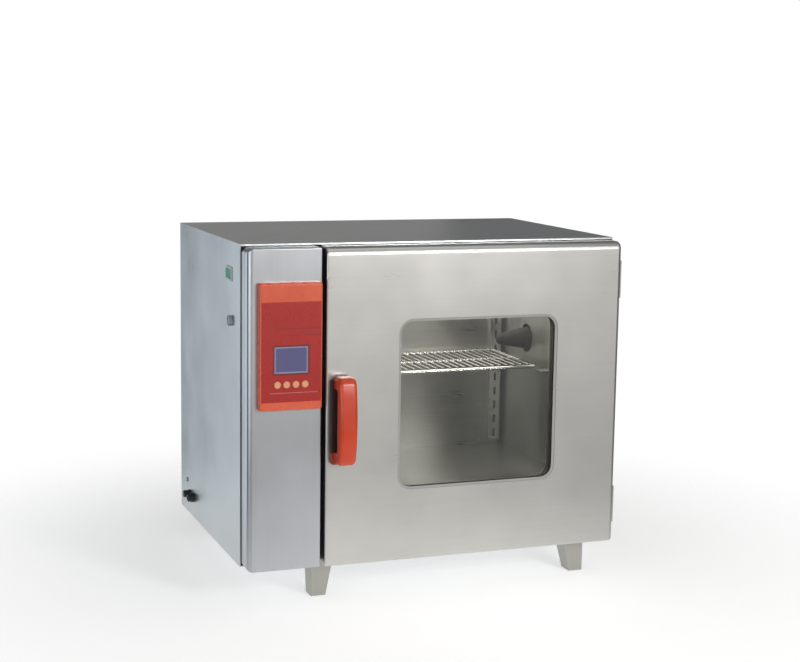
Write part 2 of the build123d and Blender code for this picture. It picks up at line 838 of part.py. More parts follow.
with BuildPart() as fan_impeller:
    rod((fan_x, fan_y + fan_width - fan_plate, fan_z), (0, 1, 0), fan_radius, fan_plate)
    rod((fan_x, fan_y, fan_z), (0, 1, 0), hub_radius, fan_width)
    with BuildSketch(Plane((fan_x, fan_y, fan_z), x_dir=(1, 0, 0), z_dir=(0, 1, 0))):
        with PolarLocations(blade_circle, fan_blades):
            Rectangle(blade_width, blade_thickness)
    extrude(amount=fan_width - fan_plate)
    rod((fan_x, fan_y, fan_z), (0, 1, 0), shaft_radius, fan_width, Mode.SUBTRACT)
fan_impeller.part.label = "fan_impeller"
export_step(fan_impeller.part, "parts/fan_impeller.step")

with BuildPart() as motor_shaft:
    rod((fan_x, fan_y, fan_z), (0, 1, 0), shaft_radius, motor_y + shaft_engaged - fan_y)
motor_shaft.part.label = "motor_shaft"
export_step(motor_shaft.part, "parts/motor_shaft.step")

motor_x = (fan_x - motor_size / 2, fan_x + motor_size / 2)
motor_z = (fan_z - motor_size / 2, fan_z + motor_size / 2)

with BuildPart() as fan_motor:
    block(motor_x, (motor_y, inner_rear_y), motor_z)
    fillet(fan_motor.edges().filter_by(Axis.Y), motor_corner_radius)
    rod((fan_x, motor_y, fan_z), (0, -1, 0), motor_nose_radius, motor_nose)
    rod(
        (fan_x, motor_y - motor_nose, fan_z),
        (0, 1, 0),
        shaft_radius + running_clearance,
        motor_nose + shaft_engaged + axial_clearance,
        Mode.SUBTRACT,
    )
fan_motor.part.label = "fan_motor"
export_step(fan_motor.part, "parts/fan_motor.step")

with BuildPart() as heater_element:
    with BuildLine(Plane((fan_x, heater_y, fan_z), x_dir=(1, 0, 0), z_dir=(0, -1, 0))) as heater_route:
        CenterArc((0, 0), heater_radius, -90 + heater_angle, 360 - 2 * heater_angle)
    with BuildSketch(Plane(origin=heater_route.line @ 0, z_dir=heater_route.line % 0)):
        Circle(heater_tube_radius)
    sweep()
    for x in heater_lead_xs:
        with Locations((x, heater_y, heater_lead_z)):
            Sphere(heater_elbow_radius)
        rod(
            (x, heater_y, heater_lead_z),
            (0, 1, 0),
            heater_tube_radius,
            insulation_back_y + heater_stub - heater_y,
        )
        rod((x, insulation_back_y, heater_lead_z), (0, 1, 0), 2 * heater_tube_radius, heater_seal_length)
heater_element.part.label = "heater_element"
export_step(heater_element.part, "parts/heater_element.step")

with BuildPart() as temperature_probe:
    rod(
        (probe_x, duct_y - probe_reach, probe_z),
        (0, 1, 0),
        probe_radius,
        insulation_back_y + probe_stub - duct_y + probe_reach,
    )
    rod((probe_x, insulation_back_y, probe_z), (0, 1, 0), 3 * probe_radius, probe_head)
temperature_probe.part.label = "temperature_probe"
export_step(temperature_probe.part, "parts/temperature_probe.step")

# Air vent through the back, with a turning damper cap

vent_disc_y = rear_y + vent_flange + axial_clearance
vent_hub_length = rear_y + vent_reach - vent_disc_y

with BuildPart() as vent_tube:
    rod((vent_x, chamber_back_y, vent_z), (0, 1, 0), vent_radius, rear_y - chamber_back_y)
    rod((vent_x, rear_y, vent_z), (0, 1, 0), vent_cap_radius, vent_flange)
    rod(
        (vent_x, chamber_back_y, vent_z),
        (0, 1, 0),
        vent_radius - vent_wall,
        rear_y - chamber_back_y,
        Mode.SUBTRACT,
    )
    with BuildSketch(Plane((vent_x, rear_y, vent_z), x_dir=(1, 0, 0), z_dir=(0, 1, 0))):
        with PolarLocations(vent_hole_circle, 3):
            Circle(vent_hole_radius)
    extrude(amount=vent_flange, mode=Mode.SUBTRACT)
    rod((vent_x, rear_y, vent_z), (0, 1, 0), vent_pin_radius, vent_flange + vent_pin_length)
vent_tube.part.label = "vent_tube"
export_step(vent_tube.part, "parts/vent_tube.step")

with BuildPart() as vent_cap:
    rod((vent_x, vent_disc_y, vent_z), (0, 1, 0), vent_cap_radius, vent_disc)
    rod((vent_x, vent_disc_y, vent_z), (0, 1, 0), vent_hub_radius, vent_hub_length)
    with BuildSketch(Plane((vent_x, vent_disc_y, vent_z), x_dir=(1, 0, 0), z_dir=(0, 1, 0))):
        with PolarLocations(vent_hole_circle, 3):
            Circle(vent_hole_radius)
    extrude(amount=vent_disc, mode=Mode.SUBTRACT)
    block(
        (vent_x - vent_cap_radius + vent_rib_gap, vent_x - vent_hub_radius + vent_rib_gap),
        (vent_disc_y + vent_disc, rear_y + vent_reach),
        (vent_z - vent_rib / 2, vent_z + vent_rib / 2),
    )
    rod(
        (vent_x, vent_disc_y, vent_z),
        (0, 1, 0),
        vent_pin_radius + running_clearance,
        vent_pin_length,
        Mode.SUBTRACT,
    )
vent_cap.part.label = "vent_cap"
export_step(vent_cap.part, "parts/vent_cap.step")

# Cable port through the right wall, closed by a tapered bung

bung_seat_radius = port_radius - port_wall
bung_seat_length = chamber_from_right + port_flange_thickness
bung_end = bung_inside + bung_seat_length

with BuildPart() as port_sleeve:
    rod((chamber_right_x, port_y, port_z), (1, 0, 0), port_radius, chamber_from_right)
    rod((right_x, port_y, port_z), (1, 0, 0), port_radius + port_flange, port_flange_thickness)
    rod((chamber_right_x, port_y, port_z), (1, 0, 0), bung_seat_radius, bung_seat_length, Mode.SUBTRACT)
port_sleeve.part.label = "port_sleeve"
export_step(port_sleeve.part, "parts/port_sleeve.step")

with BuildPart() as port_bung:
    with BuildSketch(
        Plane((chamber_right_x - bung_inside, port_y, port_z), x_dir=(1, 0, 0), z_dir=(0, 1, 0))
    ):
        with BuildLine():
            Polyline(
                (0, 0),
                (0, bung_tip_radius),
                (bung_inside, bung_wall_radius),
                (bung_end, bung_seat_radius),
                (bung_end, bung_seat_radius + bung_rim),
                (bung_end + bung_rim_thickness, bung_seat_radius + bung_rim),
                (bung_end + bung_rim_thickness, 0),
                close=True,
            )
        make_face()
    revolve(axis=Axis((0, port_y, port_z), (1, 0, 0)))
    fillet(port_bung.edges().filter_by(GeomType.CIRCLE).sort_by(Axis.X)[0], bung_tip_rounding)
port_bung.part.label = "port_bung"
export_step(port_bung.part, "parts/port_bung.step")

# Control column: cover, bezel, overlay, display, board and keys

with BuildPart() as control_cover:
    add(front_rounded(
        (cover_left_x, cover_right_x),
        (layer_y, frame_y),
        (cover_bottom_z, door_top_z),
        cover_small_radius, cover_small_radius, cover_edge_radius, cover_small_radius,
    ))
    add(front_rounded(
        (cover_left_x + sheet, cover_right_x - sheet),
        (layer_y + sheet, frame_y),
        (cover_bottom_z + sheet, door_top_z - sheet),
        cover_small_radius - sheet, cover_small_radius - sheet,
        cover_edge_radius - sheet, cover_small_radius - sheet,
    ), mode=Mode.SUBTRACT)
    block(
        (bezel_left_x + board_margin, bezel_right_x - board_margin),
        (layer_y, layer_y + sheet),
        (bezel_bottom_z + board_margin, bezel_top_z - board_margin),
        Mode.SUBTRACT,
    )
control_cover.part.label = "control_cover"
export_step(control_cover.part, "parts/control_cover.step")

with BuildPart() as control_bezel:
    add(front_rounded(
        (bezel_left_x, bezel_right_x),
        (bezel_face_y, layer_y),
        (bezel_bottom_z, bezel_top_z),
        bezel_edge_radius, bezel_edge_radius, bezel_edge_radius, bezel_edge_radius,
    ))
    block(
        (bezel_left_x + bezel_wall, bezel_right_x - bezel_wall),
        (bezel_face_y + bezel_wall, layer_y),
        (bezel_bottom_z + bezel_wall, bezel_top_z - bezel_wall),
        Mode.SUBTRACT,
    )
    block(
        (bezel_left_x + overlay_side_margin, bezel_right_x - overlay_side_margin),
        (bezel_face_y, bezel_face_y + overlay_thickness),
        (overlay_centre_z - overlay_height / 2, overlay_centre_z + overlay_height / 2),
        Mode.SUBTRACT,
    )
    block(
        (bezel_centre_x - display_width / 2, bezel_centre_x + display_width / 2),
        (bezel_face_y, bezel_face_y + bezel_wall),
        (display_centre_z - display_height / 2, display_centre_z + display_height / 2),
        Mode.SUBTRACT,
    )
    for x in button_xs:
        rod(
            (x, bezel_face_y, button_z),
            (0, 1, 0),
            button_radius + button_clearance,
            bezel_wall,
            Mode.SUBTRACT,
        )
control_bezel.part.label = "control_bezel"
export_step(control_bezel.part, "parts/control_bezel.step")

with BuildPart() as membrane_overlay:
    block(
        (bezel_left_x + overlay_side_margin, bezel_right_x - overlay_side_margin),
        (bezel_face_y, bezel_face_y + overlay_thickness),
        (overlay_centre_z - overlay_height / 2, overlay_centre_z + overlay_height / 2),
    )
    block(
        (bezel_centre_x - display_width / 2, bezel_centre_x + display_width / 2),
        (bezel_face_y, bezel_face_y + overlay_thickness),
        (display_centre_z - display_height / 2, display_centre_z + display_height / 2),
        Mode.SUBTRACT,
    )
    for x in button_xs:
        rod(
            (x, bezel_face_y, button_z),
            (0, 1, 0),
            button_radius + button_clearance,
            overlay_thickness,
            Mode.SUBTRACT,
        )
membrane_overlay.part.label = "membrane_overlay"
export_step(membrane_overlay.part, "parts/membrane_overlay.step")

with BuildPart() as lcd_display:
    block(
        (bezel_centre_x - display_width / 2, bezel_centre_x + display_width / 2),
        (bezel_face_y + overlay_thickness, board_y),
        (display_centre_z - display_height / 2, display_centre_z + display_height / 2),
    )
lcd_display.part.label = "lcd_display"
export_step(lcd_display.part, "parts/lcd_display.step")

board_x = (bezel_left_x + board_margin, bezel_right_x - board_margin)
board_z = (bezel_bottom_z + board_margin, bezel_top_z - board_margin)

with BuildPart() as control_board:
    block(board_x, (board_y, board_y + board_thickness), board_z)
    for x in (board_x[0] + post_inset, board_x[1] - post_inset):
        for z in (board_z[0] + post_inset, board_z[1] - post_inset):
            rod((x, board_y, z), (0, -1, 0), post_radius, board_setback - bezel_wall)
    block(
        (bezel_centre_x - plug_width / 2, bezel_centre_x + plug_width / 2),
        (board_y + board_thickness, board_y + board_thickness + plug_depth),
        (board_z[1] - plug_inset - plug_width, board_z[1] - plug_inset),
    )
control_board.part.label = "control_board"
export_step(control_board.part, "parts/control_board.step")

switch_top_y = bezel_face_y + bezel_wall + soft_gap + button_flange + button_travel + press_reserve
switch_half = key_switch_size / 2

with BuildPart() as key_switches:
    for x in button_xs:
        block(
            (x - switch_half, x + switch_half),
            (switch_top_y + key_stem_height, board_y),
            (button_z - switch_half, button_z + switch_half),
        )
        rod((x, switch_top_y, button_z), (0, 1, 0), key_stem_radius, key_stem_height)
key_switches.part.label = "key_switches"
export_step(key_switches.part, "parts/key_switches.step")

for number, x in enumerate(button_xs, start=1):
    with BuildPart() as button:
        rod(
            (x, bezel_face_y - button_proud, button_z),
            (0, 1, 0),
            button_radius,
            button_proud + bezel_wall + soft_gap,
        )
        rod(
            (x, bezel_face_y + bezel_wall + soft_gap, button_z),
            (0, 1, 0),
            button_radius + button_flange_reach,
            button_flange,
        )
        fillet(button.edges().filter_by(GeomType.CIRCLE).sort_by(Axis.Y)[0], button_rounding)
    button.part.label = f"button_{number}"
    export_step(button.part, f"parts/button_{number}.step")

# Rocker switch on the left side

pivot_x = left_x + rocker_pivot_depth
pocket_half_length = rocker_half_length + rocker_swing_room
pocket_half_height = rocker_half_height + rocker_side_room
rocker_pin_half = rocker_half_height + rocker_pin_end
pin_hole_half = rocker_pin_half + rocker_pin_room

with BuildPart() as switch_frame:
    block(
        (left_x - switch_rim, left_x),
        (switch_y - switch_length / 2, switch_y + switch_length / 2),
        (switch_z - switch_height / 2, switch_z + switch_height / 2),
    )
    block(
        (left_x, left_x + switch_depth),
        (switch_y - switch_body_length / 2, switch_y + switch_body_length / 2),
        (switch_z - switch_body_height / 2, switch_z + switch_body_height / 2),
    )
    block(
        (left_x - switch_rim, pivot_x + rocker_pocket_depth),
        (switch_y - pocket_half_length, switch_y + pocket_half_length),
        (switch_z - pocket_half_height, switch_z + pocket_half_height),
        Mode.SUBTRACT,
    )
    rod(
        (pivot_x, switch_y, switch_z - pin_hole_half),
        (0, 0, 1),
        rocker_pin_radius + running_clearance,
        2 * pin_hole_half,
        Mode.SUBTRACT,
    )
    fillet(switch_frame.faces().sort_by(Axis.X)[0].outer_wire().edges(), switch_rounding)
switch_frame.part.label = "switch_frame"
export_step(switch_frame.part, "parts/switch_frame.step")

rocker_plane = Plane((pivot_x, switch_y, switch_z - rocker_half_height), x_dir=(0, 1, 0), z_dir=(0, 0, 1))

with BuildPart() as power_rocker:
    with BuildSketch(rocker_plane.rotated((0, 0, rocker_tilt))):
        with BuildLine():
            Polyline(
                (-rocker_half_length, rocker_proud),
                (0, rocker_valley),
                (rocker_half_length, rocker_proud),
                (rocker_half_length, -rocker_edge_depth),
                (rocker_keel_half_length, -rocker_keel_depth),
                (-rocker_keel_half_length, -rocker_keel_depth),
                (-rocker_half_length, -rocker_edge_depth),
                close=True,
            )
        make_face()
    extrude(amount=2 * rocker_half_height)
    rod((pivot_x, switch_y, switch_z - rocker_pin_half), (0, 0, 1), rocker_pin_radius, 2 * rocker_pin_half)
power_rocker.part.label = "power_rocker"
export_step(power_rocker.part, "parts/power_rocker.step")

# Temperature limiter, fuse cap and cable gland on the left side

with BuildPart() as limiter_body:
    block(
        (inner_left_x, inner_left_x + limiter_body_depth),
        (limiter_y - limiter_body_size / 2, limiter_y + limiter_body_size / 2),
        (limiter_z - limiter_body_size / 2, limiter_z + limiter_body_size / 2),
    )
    rod(
        (inner_left_x, limiter_y, limiter_z),
        (1, 0, 0),
        limiter_shaft_radius + running_clearance,
        limiter_shaft_reach + axial_clearance,
        Mode.SUBTRACT,
    )
limiter_body.part.label = "limiter_body"
export_step(limiter_body.part, "parts/limiter_body.step")

with BuildPart() as limiter_knob:
    rod(
        (left_x - limiter_knob_height, limiter_y, limiter_z),
        (1, 0, 0),
        limiter_radius,
        limiter_knob_height - soft_gap,
    )
    fillet(limiter_knob.edges().filter_by(GeomType.CIRCLE).sort_by(Axis.X)[0], limiter_rounding)
    block(
        (left_x - limiter_knob_height, left_x - limiter_knob_height + limiter_slot),
        (limiter_y - limiter_slot / 2, limiter_y + limiter_slot / 2),
        (limiter_z - limiter_radius, limiter_z + limiter_radius),
        Mode.SUBTRACT,
    )
    rod(
        (left_x - limiter_knob_height / 2, limiter_y, limiter_z),
        (1, 0, 0),
        limiter_shaft_radius,
        limiter_knob_height / 2 + sheet + limiter_shaft_reach,
    )
limiter_knob.part.label = "limiter_knob"
export_step(limiter_knob.part, "parts/limiter_knob.step")

with BuildPart() as fuse_holder:
    rod((left_x - fitting_reach, fuse_y, fitting_z), (1, 0, 0), fuse_cap_radius, fitting_reach - fuse_rim)
    rod((left_x - fuse_rim, fuse_y, fitting_z), (1, 0, 0), fuse_radius, fuse_rim)
    rod((left_x, fuse_y, fitting_z), (1, 0, 0), fuse_neck_radius, fuse_inside)
    fillet(fuse_holder.edges().filter_by(GeomType.CIRCLE).sort_by(Axis.X)[0], fuse_rounding)
fuse_holder.part.label = "fuse_holder"
export_step(fuse_holder.part, "parts/fuse_holder.step")

with BuildPart() as cable_gland:
    with BuildSketch(Plane((left_x - gland_hexagon, gland_y, fitting_z), z_dir=(1, 0, 0))):
        RegularPolygon(gland_radius, 6)
    extrude(amount=gland_hexagon)
    rod(
        (left_x - fitting_reach, gland_y, fitting_z),
        (1, 0, 0),
        gland_nut_radius,
        fitting_reach - gland_hexagon,
    )
    rod((left_x, gland_y, fitting_z), (1, 0, 0), gland_neck_radius, gland_inside)
    fillet(cable_gland.edges().filter_by(GeomType.CIRCLE).sort_by(Axis.X)[0], gland_rounding)
    rod(
        (left_x - fitting_reach, gland_y, fitting_z),
        (1, 0, 0),
        gland_bore_radius,
        fitting_reach + gland_inside,
        Mode.SUBTRACT,
    )
cable_gland.part.label = "cable_gland"
export_step(cable_gland.part, "parts/cable_gland.step")

# Transformer in the control column

transformer_x = left_x + transformer_from_left
transformer_y = front_y + transformer_from_front
coil_top_z = floor_z + core_height - core_limb
core_x = (transformer_x - core_width / 2, transformer_x + core_width / 2)
coil_x = (core_x[0] + core_limb, core_x[1] - core_limb)

with BuildPart() as transformer:
    block(
        core_x,
        (transformer_y - core_depth / 2, transformer_y + core_depth / 2),
        (floor_z, floor_z + core_height),
    )
    block(
        coil_x,
        (transformer_y - coil_depth / 2, transformer_y + coil_depth / 2),
        (floor_z + core_limb, coil_top_z),
    )
    fillet(transformer.edges().filter_by(Axis.Z).group_by(Axis.Y)[0], coil_radius)
    fillet(transformer.edges().filter_by(Axis.Z).group_by(Axis.Y)[-1], coil_radius)
transformer.part.label = "transformer"
export_step(transformer.part, "parts/transformer.step")

# Door: skin, insulation, inner pan, glazing, seals

skin_x = (door_left_x, door_right_x)
skin_z = (door_bottom_z, door_top_z)
inside_x = (door_left_x + sheet, door_right_x - sheet)
inside_z = (door_bottom_z + sheet, door_top_z - sheet)
inside_radii = (
    door_top_radius - sheet,
    door_small_radius - sheet,
    door_small_radius - sheet,
    door_right_radius - sheet,
)

with BuildPart() as door_skin:
    add(front_rounded(
        skin_x,
        (layer_y, door_back_y),
        skin_z,
        door_top_radius, door_small_radius, door_small_radius, door_right_radius,
    ))
    add(front_rounded(inside_x, (layer_y + sheet, door_back_y), inside_z, *inside_radii), mode=Mode.SUBTRACT)
    add(rounded_slab(
        window_centre, window_size, window_size, window_radius, layer_y, layer_y + sheet,
    ), mode=Mode.SUBTRACT)
door_skin.part.label = "door_skin"
export_step(door_skin.part, "parts/door_skin.step")

with BuildPart() as door_inner_pan:
    add(front_rounded(inside_x, (layer_y + sheet, door_back_y), inside_z, *inside_radii))
    block(inside_x, (pan_y, pan_back_y), inside_z, Mode.INTERSECT)
    add(
        rounded_slab(window_centre, window_size, window_size, window_radius, pan_y, pan_back_y),
        mode=Mode.SUBTRACT,
    )
door_inner_pan.part.label = "door_inner_pan"
export_step(door_inner_pan.part, "parts/door_inner_pan.step")

with BuildPart() as window_seal:
    add(rounded_slab(window_centre, seal_size, seal_size, window_radius, seal_y, seal_back_y))
    add(rounded_slab(
        window_centre,
        window_size - 2 * seal_lip,
        window_size - 2 * seal_lip,
        window_radius - seal_lip,
        seal_y,
        seal_back_y,
    ), mode=Mode.SUBTRACT)
    add(rounded_slab(
        window_centre, glass_size, glass_size, window_radius, outer_glass_y, outer_glass_y + glass_thickness,
    ), mode=Mode.SUBTRACT)
window_seal.part.label = "window_seal"
export_step(window_seal.part, "parts/window_seal.step")

with BuildPart() as outer_glass:
    add(rounded_slab(
        window_centre, glass_size, glass_size, window_radius, outer_glass_y, outer_glass_y + glass_thickness,
    ))
outer_glass.part.label = "outer_glass"
export_step(outer_glass.part, "parts/outer_glass.step")

tunnel_size = window_size + 2 * tunnel_wall
tunnel_radius = window_radius + tunnel_wall

with BuildPart() as window_tunnel:
    add(rounded_slab(window_centre, tunnel_size, tunnel_size, tunnel_radius, seal_back_y, inner_glass_y))
    add(rounded_slab(
        window_centre, window_size, window_size, window_radius, seal_back_y, inner_glass_y,
    ), mode=Mode.SUBTRACT)
window_tunnel.part.label = "window_tunnel"
export_step(window_tunnel.part, "parts/window_tunnel.step")

with BuildPart() as inner_glass:
    add(rounded_slab(window_centre, inner_glass_size, inner_glass_size, window_radius, inner_glass_y, pan_y))
inner_glass.part.label = "inner_glass"
export_step(inner_glass.part, "parts/inner_glass.step")

with BuildPart() as door_insulation:
    add(front_rounded(inside_x, (layer_y + sheet, door_back_y), inside_z, *inside_radii))
    block(inside_x, (layer_y + sheet, pan_y), inside_z, Mode.INTERSECT)
    add(rounded_slab(
        window_centre, seal_size, seal_size, window_radius, seal_y, seal_back_y,
    ), mode=Mode.SUBTRACT)
    add(rounded_slab(
        window_centre, tunnel_size, tunnel_size, tunnel_radius, seal_back_y, inner_glass_y,
    ), mode=Mode.SUBTRACT)
    add(rounded_slab(
        window_centre, inner_glass_size, inner_glass_size, window_radius, inner_glass_y, pan_y,
    ), mode=Mode.SUBTRACT)
door_insulation.part.label = "door_insulation"
export_step(door_insulation.part, "parts/door_insulation.step")

gasket_inner_width = chamber_right_x - chamber_left_x + 2 * gasket_offset
gasket_inner_height = chamber_roof_z - chamber_floor_z + 2 * gasket_offset
gasket_centre = (chamber_middle_x, chamber_middle_z)

with BuildPart() as door_gasket:
    add(rounded_slab(
        gasket_centre,
        gasket_inner_width + 2 * gasket_width,
        gasket_inner_height + 2 * gasket_width,
        gasket_width + gasket_offset,
        pan_back_y,
        frame_y - soft_gap,
    ))
    add(rounded_slab(
        gasket_centre, gasket_inner_width, gasket_inner_height, gasket_offset, pan_back_y, frame_y - soft_gap,
    ), mode=Mode.SUBTRACT)
door_gasket.part.label = "door_gasket"
export_step(door_gasket.part, "parts/door_gasket.step")

with BuildPart() as catch_strikes:
    for z in magnet_zs:
        block(
            (magnet_x - magnet_width / 2, magnet_x + magnet_width / 2),
            (pan_back_y, front_y - magnet_proud - soft_gap),
            (z - magnet_height / 2, z + magnet_height / 2),
        )
catch_strikes.part.label = "catch_strikes"
export_step(catch_strikes.part, "parts/catch_strikes.step")

# Handle: a dark base plate and a red bow

with BuildPart() as handle_base:
    block(
        (handle_left_x - handle_base_left, handle_right_x + handle_base_right),
        (handle_foot_y, layer_y),
        (handle_bottom_z - handle_base_below, handle_top_z - handle_base_short),
    )
    fillet(handle_base.edges().filter_by(Axis.Y), handle_base_radius)
    fillet(handle_base.faces().sort_by(Axis.Y)[0].edges(), handle_base_rounding)
handle_base.part.label = "handle_base"
export_step(handle_base.part, "parts/handle_base.step")

grip_middle_z = (handle_bottom_z + handle_top_z) / 2
grip_end_y = handle_front_y + grip_bow

with BuildPart() as handle_grip:
    with BuildSketch(Plane((handle_left_x, 0, 0), x_dir=(0, 1, 0), z_dir=(1, 0, 0))):
        with BuildLine():
            ThreePointArc(
                (grip_end_y, handle_bottom_z),
                (handle_front_y, grip_middle_z),
                (grip_end_y, handle_top_z),
            )
            Polyline(
                (grip_end_y, handle_top_z),
                (handle_foot_y, handle_top_z),
                (handle_foot_y, handle_bottom_z),
                (grip_end_y, handle_bottom_z),
            )
        make_face()
        with Locations(((handle_front_y + handle_bar + handle_foot_y) / 2, grip_middle_z)):
            Rectangle(
                handle_foot_y - handle_front_y - handle_bar,
                handle_height - 2 * handle_leg,
                mode=Mode.SUBTRACT,
            )
    extrude(amount=handle_width)
    fillet(handle_grip.edges().filter_by(Axis.X).group_by(Axis.Y)[-2], grip_inner_radius)
    fillet(handle_grip.edges().filter_by(Axis.X).group_by(Axis.Y)[0], grip_end_radius)
    bowed_edges = handle_grip.edges().filter_by(
        lambda edge: edge.bounding_box().min.Y < handle_front_y + soft_gap
    )
    fillet(bowed_edges, grip_edge_radius)
handle_grip.part.label = "handle_grip"
export_step(handle_grip.part, "parts/handle_grip.step")

# Hinges: leaves on the casing's right side, leaves on the door's right side, and their pins

knuckle_height = hinge_height / 3

with BuildPart() as hinge_brackets:
    for z in hinge_zs:
        low = z + knuckle_height
        high = low + knuckle_height
        block(
            (right_x, right_x + hinge_leaf),
            bracket_y,
            (z, z + hinge_height),
        )
        rod((hinge_x, hinge_y, low), (0, 0, 1), hinge_knuckle_radius, knuckle_height)
        block(
            (right_x, hinge_x),
            (hinge_y + hinge_knuckle_radius - hinge_link, hinge_y + hinge_knuckle_radius),
            (low, high),
        )
        block(
            (right_x, right_x + hinge_leaf),
            (hinge_y + hinge_knuckle_radius - hinge_link, front_y + hinge_leaf_gap),
            (low, high),
        )
        rod((hinge_x, hinge_y, z), (0, 0, 1), hinge_pin_radius, hinge_height)
    for y, z in bracket_screws_at:
        rod((right_x, y, z), (1, 0, 0), screw_radius, hinge_leaf, Mode.SUBTRACT)
hinge_brackets.part.label = "hinge_brackets"
export_step(hinge_brackets.part, "parts/hinge_brackets.step")

with BuildPart() as door_hinge_leaves:
    for z in hinge_zs:
        block(
            (door_right_x, door_right_x + hinge_leaf),
            (hinge_y - hinge_knuckle_radius - hinge_leaf_length, hinge_y - hinge_knuckle_radius),
            (z, z + hinge_height),
        )
        for start in (z, z + hinge_height - knuckle_height + axial_clearance):
            height = knuckle_height - axial_clearance
            rod((hinge_x, hinge_y, start), (0, 0, 1), hinge_knuckle_radius, height)
            block(
                (door_right_x, hinge_x),
                (hinge_y - hinge_knuckle_radius, hinge_y - hinge_knuckle_radius + hinge_link),
                (start, start + height),
            )
        rod(
            (hinge_x, hinge_y, z),
            (0, 0, 1),
            hinge_pin_radius + running_clearance,
            hinge_height,
            Mode.SUBTRACT,
        )
door_hinge_leaves.part.label = "door_hinge_leaves"
export_step(door_hinge_leaves.part, "parts/door_hinge_leaves.step")
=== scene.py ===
# %% [markdown]
# # A bench drying oven
# A steel box stands on four tapered feet. A light-coloured door with a square window covers most of
# the front, and a narrow column beside it carries a red control panel. The shapes come from the CAD
# model, which is loaded first and never moved. This lesson gives every surface a real finish, sets a
# plain studio and places a camera.

# %% Load the CAD model
import math

import bpy
import numpy as np
from mathutils import Matrix, Vector


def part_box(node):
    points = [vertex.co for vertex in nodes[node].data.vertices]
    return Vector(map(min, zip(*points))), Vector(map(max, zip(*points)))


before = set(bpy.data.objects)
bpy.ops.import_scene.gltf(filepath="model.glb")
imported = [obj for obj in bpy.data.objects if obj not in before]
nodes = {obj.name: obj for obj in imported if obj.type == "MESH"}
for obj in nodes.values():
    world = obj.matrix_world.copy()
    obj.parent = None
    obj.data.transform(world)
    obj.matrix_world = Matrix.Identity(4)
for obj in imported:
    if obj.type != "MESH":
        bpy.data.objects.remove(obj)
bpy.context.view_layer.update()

# %% [markdown]
# Colours are easiest to read as the hex values that a paint program shows. Those are sRGB, and
# Blender's shaders work in linear light, so one function turns each value to linear.

# %% Colours


def linear(code):
    """sRGB hex to linear: c / 12.92 below 0.04045, otherwise ((c + 0.055) / 1.055) ** 2.4."""
    values = np.array([int(code[i:i + 2], 16) for i in (1, 3, 5)]) / 255
    values = np.where(values < 0.04045, values / 12.92, ((values + 0.055) / 1.055) ** 2.4)
    return (*values.tolist(), 1.0)


print("the middle grey #808080 in linear light:", round(linear("#808080")[0], 3))

# %% [markdown]
# Every material is a small tree of nodes. One helper adds a node, sets its options and numbers, and
# joins it to the nodes before it. A second one starts a material with its shader.

# %% Node helper


def add_node(material, kind, options=None, inputs=None):
    """Add one node; options are its properties, inputs are numbers or sockets for its inputs."""
    made = material.node_tree.nodes.new(kind)
    for name, value in (options or {}).items():
        setattr(made, name, value)
    for name, value in (inputs or {}).items():
        if isinstance(value, bpy.types.NodeSocket):
            material.node_tree.links.new(value, made.inputs[name])
        else:
            made.inputs[name].default_value = value
    return made


def start_material(name, settings):
    """A new material with only its Principled shader, whose plain values come from settings."""
    material = bpy.data.materials.new(name)
    material.use_nodes = True
    shader = material.node_tree.nodes["Principled BSDF"]
    for key, value in settings.items():
        shader.inputs[key].default_value = value
    return material, shader


def join(material, output, socket):
    """Link an output to an input socket of the same material."""
    material.node_tree.links.new(output, socket)


print("node helpers: add_node, start_material, join")

# %% [markdown]
# Noise textures, colour ramps and bumps are used by nearly every finish, so each gets a short function.
# All of them read object coordinates, which are metres here, so a scale of 100 gives features 10 mm wide.

# %% Texture helpers


def mapped(material, scale=(1, 1, 1)):
    """Object coordinates in metres, scaled along each axis."""
    place = add_node(material, "ShaderNodeTexCoord")
    return add_node(material, "ShaderNodeMapping", inputs={
        "Vector": place.outputs["Object"], "Scale": scale}).outputs["Vector"]


def noise(material, vector, scale, detail=2.0, rough=0.5):
    """A noise texture's value, 0 to 1, with features about 1 / scale metres wide."""
    return add_node(material, "ShaderNodeTexNoise", inputs={
        "Vector": vector, "Scale": scale, "Detail": detail, "Roughness": rough}).outputs["Fac"]


def ramp(material, value, dark, light, start=0.3, end=0.7):
    """A colour ramp over value, from the hex colour dark at start to the hex colour light at end."""
    made = add_node(material, "ShaderNodeValToRGB", inputs={"Fac": value})
    for element, position, code in zip(made.color_ramp.elements, (start, end), (dark, light)):
        element.position = position
        element.color = linear(code)
    return made.outputs["Color"]


def spread(material, value, low, high, start=0.3, end=0.7):
    """Turn a value between start and end into a number between low and high."""
    return add_node(material, "ShaderNodeMapRange", inputs={
        "Value": value, "From Min": start, "From Max": end,
        "To Min": low, "To Max": high}).outputs["Result"]


def bump(material, height, metres, strength=1.0, normal=None):
    """A bump from a height value; metres is how deep a full step is."""
    inputs = {"Height": height, "Distance": metres, "Strength": strength}
    if normal is not None:
        inputs["Normal"] = normal
    return add_node(material, "ShaderNodeBump", inputs=inputs).outputs["Normal"]


def streaks(along):
    """Mapping scale for streaks along an axis: 0.5 m long on it, 2 mm wide across it."""
    long_scale, fine_scale = 2.0, 500.0
    return tuple(long_scale if axis == along else fine_scale for axis in "XYZ")


print("texture helpers: mapped, noise, ramp, spread, bump, streaks")
